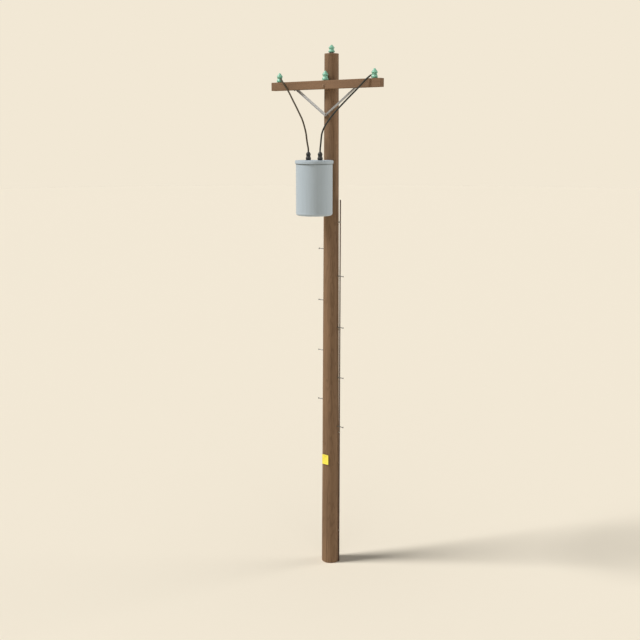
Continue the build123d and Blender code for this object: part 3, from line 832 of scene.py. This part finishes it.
inner_r = tank_r - tank_wall
shell_profile = [(inner_r, shell_low.z), (tank_r, shell_low.z)]
shell_profile += bead(tank_r, shell_low.z + 0.0005, shell_low.z + 0.0095, 0.0022, 5)
shell_profile += [(tank_r, z) for z in steps(shell_low.z + 0.02, shell_high.z - 0.02, 12)]
shell_profile += [(tank_r, shell_high.z), (inner_r, shell_high.z)]
shell = moved(turned(shell_profile, 192, True, weld_ripple), tank_axis)
seam = [(0.0006 * sin(9 * z), tank_y + tank_r + 0.0001, z)
        for z in steps(shell_low.z + 0.012, lid_low.z - 0.004, 60)]
seam = tube(seam, [0.0024 + 0.0004 * sin(5 * i) for i in range(len(seam))])

centre_r = tank_r - tank_corner
pan = [(centre_r * share, tank_bottom_z) for share in steps(0, 1, 4)[:-1]]
pan += arc(centre_r, shell_low.z, tank_corner, -pi / 2, 0, 12)
pan += arc(centre_r, shell_low.z, tank_corner - tank_wall, 0, -pi / 2, 8)
pan += [(0, tank_bottom_z + tank_wall)]

lid_inner = tank_r + seat_gap
rim_round = min(lid_round, lid_r - lid_inner - 0.0003)
press_z = lid_high.z - press_deep
lid = [(0, shell_high.z), (lid_inner, shell_high.z), (lid_inner, lid_low.z),
       (lid_r - 0.0015, lid_low.z), (lid_r, lid_low.z + 0.0015)]
lid += arc(lid_r - rim_round, lid_high.z - rim_round, rim_round, 0, pi / 2, 10)
lid += [(press_r, lid_high.z - 0.0002), (press_r - 0.003, press_z), (0.15, press_z), (0, press_z)]

# Weather: dust that settles on faces that look up, and rain streaks down the sides.
weather, given, result = new_group("Weather", {"Vector": "Vector", "Facing": "Vector"},
                                   {"Dust": "Float", "Streak": "Float"})
up = new_node(weather, "SeparateXYZ", Vector=given["Facing"]).outputs["Z"]
settled = times(weather, cloudy(weather, given["Vector"], 12, 4), 0.7, up)
runs = cloudy(weather, drawn_out(weather, given["Vector"], 0.05), 26, 3, 0.6)
feed_all(weather, result, Dust=spread(weather, settled, 0.75, 1.5),
         Streak=spread(weather, runs, 0.48, 0.72))


def weathered_material(name, paint, streak, dust, rough, share, bumps, **sockets):
    """Paint or glaze with rain streaks and dust over it; bumps are a scale, a depth, a strength."""
    made, tree, place, shader = new_material(name, **sockets)
    add_bump(tree, shader, cloudy(tree, place, bumps[0]), *bumps[1:])
    facing = new_node(tree, "NewGeometry").outputs["Normal"]
    worn = use_group(tree, weather, Vector=place, Facing=facing)
    colour = mix(tree, times(tree, worn["Streak"], share), paint, streak)
    colour = mix(tree, times(tree, worn["Dust"], share), colour, dust)
    dull = times(tree, worn["Dust"], 0.3, rough, clamp=True)
    feed_all(tree, shader, Base_Color=colour,
             Roughness=times(tree, worn["Streak"], 0.08, dull, clamp=True))
    return made, tree, place, shader


tank_paint, tree, place, shader = weathered_material(
    "Tank Paint", (0.415, 0.480, 0.530), (0.360, 0.415, 0.450), (0.46, 0.49, 0.50), 0.48, 0.3,
    (260, 0.0004, 0.25), Specular_IOR_Level=0.3)
# The top of the wall just under the lid's rim is coloured darker: painted shade from the rim.
level = new_node(tree, "SeparateXYZ", Vector=place).outputs["Z"]
painted_shade_under_lid = spread(tree, level, lid_low.z - 0.030, lid_low.z - 0.006)
painted_shade_under_lid = times(tree, painted_shade_under_lid, spread(tree, level, lid_low.z + 0.001, lid_low.z - 0.001))
painted = shader["Base Color"].links[0].from_socket
feed_all(tree, shader, Base_Color=mix(tree, times(tree, painted_shade_under_lid, 0.68), painted,
                                      (0.105, 0.13, 0.135)))
for name, shape, node in (("tank_wall_rolled", join(shell, seam), "tank_shell"),
                          ("tank_pan", moved(turned(pan, 128), tank_axis), "tank_bottom"),
                          ("tank_cover", moved(turned(lid, 128), tank_axis), "tank_lid")):
    build(name, shape, 40, tank_paint, node)


def even_material(name, colour, scale, smooth, dull):
    """One colour, whose gloss varies softly between two roughnesses."""
    made, tree, place, shader = new_material(name, Base_Color=(*colour, 1))
    feed_all(tree, shader, Roughness=spread(tree, cloudy(tree, place, scale), 0.3, 0.7, smooth, dull))
    return made


# A grey rubber gasket is squeezed up under the lid's rim, and bulges a little.
gasket_low, gasket_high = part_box("lid_gasket")
bulge = 0.0006
ring = [(lid_inner, gasket_low.z), (lid_inner, gasket_high.z),
        *bead(gasket_high.x - bulge, gasket_high.z, gasket_low.z, bulge, 6)]
rubber = even_material("Gasket Rubber", (0.22, 0.23, 0.23), 50, 0.65, 0.85)
build("lid_gasket_ring", moved(turned(ring, 128, True), tank_axis), 50, rubber,
      "lid_gasket")


# ==== Tank hangers ====
# Two brackets of steel plate, painted with the tank: a saddle on the pole, drawn up by its bolt,
# and two webs welded to the saddle and to the tank.

hanger_plate = 0.010
hanger_web = 0.008
weld_out = 0.0015


def upright_weld(x, y, low_z, high_z):
    """A lumpy weld bead up a corner, thin at its ends."""
    path = [(x, y, z) for z in steps(low_z, high_z, 24)]
    radii = [0.0028 * (1 + 0.12 * sin(2.1 * i)) for i in range(len(path))]
    radii[0] = radii[-1] = 0.0014
    return tube(path, radii)


for which in ("upper", "lower"):
    low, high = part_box(f"hanger_{which}")
    front = -(pole_r(low.z) + seat_gap + hanger_plate)
    shapes = [saddle(high.x, low.z, high.z, front, -1)]
    for side in sides.values():
        faces = (side * high.x, side * (high.x - hanger_web))
        shapes.append(slab(faces, (low.z, high.z), lambda x, z: (x, front, z),
                           lambda x, z: (x, tank_y + sqrt((tank_r + seat_gap) ** 2 - x * x), z)))
        for x, out in zip(faces, (weld_out, -weld_out)):
            for y in (tank_y + sqrt(tank_r ** 2 - x * x) + weld_out, front - weld_out):
                shapes.append(upright_weld(x + side * out, y, low.z + 0.002, high.z - 0.002))
    build(f"hanger_{which}_bracket", join(*shapes), 35, tank_paint,
          f"hanger_{which}", 0.0006)


# ==== Bushings and terminals ====
# Near-black glazed porcelain, clamped down through the lid, with two round sheds. Each has a
# plated stud on top, with a nut and a round clamp that takes the lead.

bushing_high = 0.140
foot_ring_r = 0.0405
spigot_r = 0.017
glaze, *_ = weathered_material(
    "Bushing Glaze", (0.026, 0.026, 0.026), (0.034, 0.033, 0.031), (0.05, 0.048, 0.042), 0.42, 0.4,
    (60, 0.0005, 0.4), Specular_IOR_Level=0.3)
terminal_zinc = zinc_material("Terminal Metal", (0.055, 0.052, 0.045), 90, 0.5, 0.6)
sheds = curve_through([(foot_ring_r - 0.001, 0.004), (0.0450, 0.033), (0.0345, 0.065),
                       (0.0395, 0.104), (0.0185, bushing_high - 0.0015)], 9)
porcelain = turned([(0, -0.046), (spigot_r, -0.046), (spigot_r, 0), (foot_ring_r, 0),
                    (foot_ring_r, 0.0035), *sheds, (0.0175, bushing_high), (0, bushing_high)], 64)
nut = hexagon(0.014, 0.005)
clamp = turned([(0, 0.005), (0.0128, 0.005), (0.0138, 0.0056), (0.0138, 0.0068), (0.0130, 0.0072),
                (0.0130, 0.0078), (0.0138, 0.0082), (0.0138, 0.0094), (0.0130, 0.010), (0, 0.010)])
for name in sides:
    x = middle(f"bushing_{name}")[0]
    build(f"bushing_{name}_porcelain", moved(porcelain, upright(x, tank_y, lid_high.z)), 45, glaze,
          f"bushing_{name}")
    foot = upright(x, tank_y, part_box(f"terminal_{name}")[0].z)
    build(f"terminal_{name}_stud", moved(join(nut, clamp), foot), 35, terminal_zinc,
          f"terminal_{name}")


# ==== Leads ====
# Stiff insulated jumpers, bent by hand: up from a bushing's clamp, out in front of the arm and
# back over its edge to the sleeve at the outer insulator's groove.

# Length and jacket colours. The left jacket is a lighter, browner colour than the right one.
leads = {"left": (1.524, (0.045, 0.035, 0.019), (0.068, 0.054, 0.034)),
         "right": (1.543, (0.024, 0.026, 0.022), (0.040, 0.042, 0.036))}
for name, (length, dark, light) in leads.items():
    curve = bpy.data.curves.new(f"lead_{name}_line", "CURVE")
    curve.dimensions = "3D"
    curve.bevel_depth = lead_r
    curve.bevel_resolution = 6
    curve.resolution_u = 12
    curve.use_fill_caps = True
    spline = curve.splines.new("NURBS")
    route = lead_route(name)
    spline.points.add(len(route) - 1)
    for point, spot in zip(spline.points, route):
        point.co = (*spot, 1)
    spline.order_u = 3
    spline.use_endpoint_u = True
    lead = put(f"lead_{name}_cable", curve)
    jacket, tree, place, shader = new_material(f"Lead Jacket {name.title()}", Specular_IOR_Level=0.2)
    worn = cloudy(tree, place, 30, 3)
    feed_all(tree, shader, Base_Color=mix(tree, worn, dark, light),
             Roughness=spread(tree, worn, 0.3, 0.7, 0.55, 0.75))
    add_bump(tree, shader, cloudy(tree, place, 400), 0.0003, 0.4)
    install(lead, jacket, f"lead_{name}")


# ==== Pole steps ====
# Galvanised lag-screwed rods, driven into drilled holes by turns on each side, with a forged
# button head at the tip to keep a boot on.

step_r = 0.008
step_head_r = 0.014
step_head = 0.007
screw_in = 0.07
step_zinc = zinc_material("Step Zinc", (0.22, 0.215, 0.20), 80, 0.8)
for number in range(1, 5):
    for name, side in sides.items():
        node = f"step_{name}_{number}"
        low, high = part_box(node)
        tip = high.x - low.x
        neck = tip - step_head
        screw = [(0, 0), (0.0015, 0.0005)]
        screw += [(step_r * min(1.0, 0.3 + 8 * z) * (0.8 if i % 2 else 1.0), z)
                  for i, z in enumerate(steps(0.004, screw_in, 24))]
        screw += [(step_r, screw_in + 0.004), (step_r, neck - 0.002), (step_r + 0.0015, neck),
                  (step_head_r - 0.001, neck), (step_head_r, neck + 0.0015),
                  (step_head_r, tip - 0.003), (step_head_r - 0.001, tip - 0.0012),
                  (step_head_r - 0.004, tip), (0, tip)]
        root_x = low.x if side > 0 else high.x
        at = aim(root_x, 0, middle(node)[2], (side, 0, 0))
        steel_piece(node, [moved(turned(screw), at)], step_zinc)


# ==== Conduit ====
# A thin steel pipe up the pole's side for the ground wire, held off the wood by clips on
# stems, with a plastic cap that keeps rain out of its top.

conduit_x, conduit_y, _ = middle("conduit")
conduit_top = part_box("conduit")[1].z
conduit_r = 0.0107
conduit_wall = 0.0028
cap_over = 0.0012
cap_round = 0.0045
clip_thick = 0.003
clip_high = 0.024
clip_half = 0.005
conduit_axis = upright(conduit_x, conduit_y)
pipe_zinc = zinc_material("Conduit Steel", (0.112, 0.070, 0.051), 70, 1.0, 0.4)
bore = conduit_r - conduit_wall
pipe = [(bore, 0.0005), (bore + 0.0005, 0), (conduit_r - 0.0005, 0), (conduit_r, 0.0005),
        (conduit_r, conduit_top), (bore, conduit_top)]
build("conduit_pipe", moved(turned(pipe, 32, True), conduit_axis), 40, pipe_zinc,
      "conduit")

cap_low, cap_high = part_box("conduit_cap")
cap = [(0, cap_low.z), (conduit_r, cap_low.z), (conduit_r + cap_over, cap_low.z + 0.0005),
       (conduit_r + cap_over, cap_low.z + 0.003), (conduit_r, cap_low.z + 0.0035),
       *arc(cap_round, cap_high.z - cap_round, cap_round, 0, pi / 2, 8), (0, cap_high.z)]
black_plastic = even_material("Cap Plastic", (0.03, 0.03, 0.03), 120, 0.4, 0.6)
build("conduit_cap_plug", moved(turned(cap), conduit_axis), 38, black_plastic,
      "conduit_cap")

straps_low, straps_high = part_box("conduit_straps")
clip_out = hypot(conduit_x, conduit_y)
ahead = Vector((conduit_x, conduit_y, 0)) / clip_out
aside = Vector((-ahead.y, ahead.x, 0))
clip_bore = conduit_r + seat_gap
clip = turned([(clip_bore, -clip_high / 2), (clip_bore + clip_thick, -clip_high / 2),
               (clip_bore + clip_thick, clip_high / 2), (clip_bore, clip_high / 2)], 40, True)


def stem_root(across, z):
    return ahead * sqrt((pole_r(z) + seat_gap) ** 2 - across ** 2) + aside * across + Vector((0, 0, z))


def stem_tip(across, z):
    out = clip_out - sqrt((clip_bore + clip_thick / 2) ** 2 - across ** 2)
    return ahead * out + aside * across + Vector((0, 0, z))


shapes = []
for z in steps(straps_low.z + clip_high / 2, straps_high.z - clip_high / 2, 3):
    ends = (z - clip_high / 2 + 0.0002, z + clip_high / 2 - 0.0002)
    shapes.append(moved(clip, upright(conduit_x, conduit_y, z)))
    shapes.append(slab(steps(-clip_half, clip_half, 4), ends, stem_root, stem_tip))
clip_zinc = zinc_material("Clip Zinc", (0.34, 0.30, 0.25), 90, 0.4, 0.2)
build("conduit_clips", join(*shapes), 35, clip_zinc, "conduit_straps", 0.0005)


# ==== Sign plate ====
# A bare yellow plate of pressed sheet, its edge rolled to a low border, on a wood batten shaped
# to the pole. Two slotted pan-head screws go through both into the pole.

plate_low, plate_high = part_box("sign_plate")
batten_low, batten_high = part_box("sign_batten")
sign_z = middle("sign_plate")[2]
sign_corner = 0.008
sign_border = 0.005
face_y = plate_low.y + 0.0006


def plate_row(inset, y):
    half = (plate_high.x - inset, (plate_high.z - plate_low.z) / 2 - inset)
    points = (rounded_rectangle(share, *half, max(0.0005, sign_corner - inset))
              for share in steps(0, 1, 96)[:-1])
    return [(u, y, sign_z + v) for u, v in points]


insets = [(0.0004, plate_high.y), (0, plate_high.y - 0.0004), (0, plate_low.y + 0.0005),
          (0.0006, plate_low.y), (sign_border - 0.0012, plate_low.y), (sign_border, face_y)]
plate = skin([[(0, plate_high.y, sign_z)], *(plate_row(*inset) for inset in insets),
              [(0, face_y, sign_z)]])
sign_paint, *_ = weathered_material(
    "Sign Yellow", (0.94, 0.80, 0.085), (0.88, 0.74, 0.10), (0.78, 0.70, 0.30), 0.35, 0.35,
    (300, 0.0003, 0.2))
build("sign_sheet", plate, 50, sign_paint, "sign_plate")

batten = saddle(batten_high.x, batten_low.z, batten_high.z, batten_low.y, -1)
batten_wood = wood_material("Batten Wood", (0.30, 0.19, 0.11), (0.17, 0.10, 0.055),
                            (0.05, 0.03, 0.02), 0.005, 0.0, (0.03, 0.02, 0))
build("sign_backing", batten, 40, batten_wood, "sign_batten", 0.002)

screw_low, screw_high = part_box("sign_screws")
screw_r = 0.003
screw_head_r = 0.007
screw_head = 0.003
head_edge = 0.0008
screw_seat = screw_high.y - screw_low.y - screw_head


def driver_slot(r, z, turn):
    if z > screw_seat + 0.0012 and abs(r * sin(turn + 0.4)) < 0.0008:
        z -= 0.0011
    return r, z


screw = [(0, 0), (0.0005, 0), *threads(screw_r, 0.002, screw_seat - 0.004), (screw_r, screw_seat),
         (screw_head_r, screw_seat),
         *arc(0, screw_seat + head_edge, screw_head_r, 0, pi / 2 - 0.15, 6, screw_head - head_edge),
         (0, screw_seat + screw_head)]
screw = turned(screw, 48, carve=driver_slot)
painted_over = zinc_material("Painted Screws", (0.80, 0.66, 0.09), 90, 0.4, 0.1)
steel_piece("sign_screws", [moved(screw, aim(0, screw_high.y, z, (0, -1, 0)))
                            for z in (screw_low.z + screw_head_r, screw_high.z - screw_head_r)],
            painted_over)


# ==== Floor, light and camera ====
# A plain pale floor that runs out to the same colour as the background, with painted shade that makes
# it a touch greyer round the pole. A wide key light comes from the left, a low rim light from behind
# on the right and a faint fill from the front.

backdrop = (0.888, 0.807, 0.665)
painted_shade_share = 0.05
painted_shade_reach = 2.5
floor = make_object("floor", turned([(0.3 * 1.6 ** i if i else 0, 0) for i in range(14)], 96))
paper, tree, place, shader = new_material("Floor Paper", Roughness=1.0, Specular_IOR_Level=0.0)
out = times(tree, off_axis(tree, place), 1 / painted_shade_reach)
# How much of the painted shade falls at each point, most at the pole's foot.
grey = reckon(tree, "DIVIDE", 1.0, times(tree, out, out, 1.0))
painted_shade_backdrop = tuple(c * (1 - painted_shade_share) for c in backdrop)
feed_all(tree, shader, Base_Color=mix(tree, grey, backdrop, painted_shade_backdrop))
floor.data.materials.append(paper)

# Each light: where it comes from, degrees up, how wide in degrees, share of a white's brightness.
suns = {
    "key": ((-0.731, -0.682), 48, 15, 1.00),
    "rim": ((0.643, 0.766), 18, 30, 0.36),
    "fill": ((0.582, -0.813), 15, 60, 0.24),
}
ambient = 1.0
for name, ((x, y), up, wide, bright) in suns.items():
    lamp = bpy.data.lights.new(name, "SUN")
    lamp.energy = bright * pi
    lamp.angle = radians(wide)
    up = radians(up)
    ambient -= bright * sin(up)
    came_from = Vector((x * cos(up), y * cos(up), sin(up)))
    put(name, lamp).rotation_euler = came_from.to_track_quat("Z", "Y").to_euler()

world = bpy.data.worlds.new("studio")
world.use_nodes = True
bpy.context.scene.world = world
tree = world.node_tree
rays = new_node(tree, "LightPath").outputs
seen = reckon(tree, "MAXIMUM", rays["Is Camera Ray"], rays["Is Glossy Ray"])
seen = reckon(tree, "MAXIMUM", seen, rays["Is Transmission Ray"])
sky = mix(tree, seen, (ambient, ambient, ambient), backdrop)
feed_all(tree, tree.nodes["Background"].inputs, Color=sky)

camera = bpy.data.cameras.new("camera")
camera.lens = 50
camera.sensor_width = 36
camera.clip_end = 400
camera_object = put("camera", camera)
camera_object.location = (8.9967, -12.5551, 7.7448)
camera_object.rotation_euler = (radians(90 - 11.5752), 0, radians(36.3446))
bpy.context.scene.camera = camera_object
bpy.context.scene.view_settings.view_transform = "Standard"
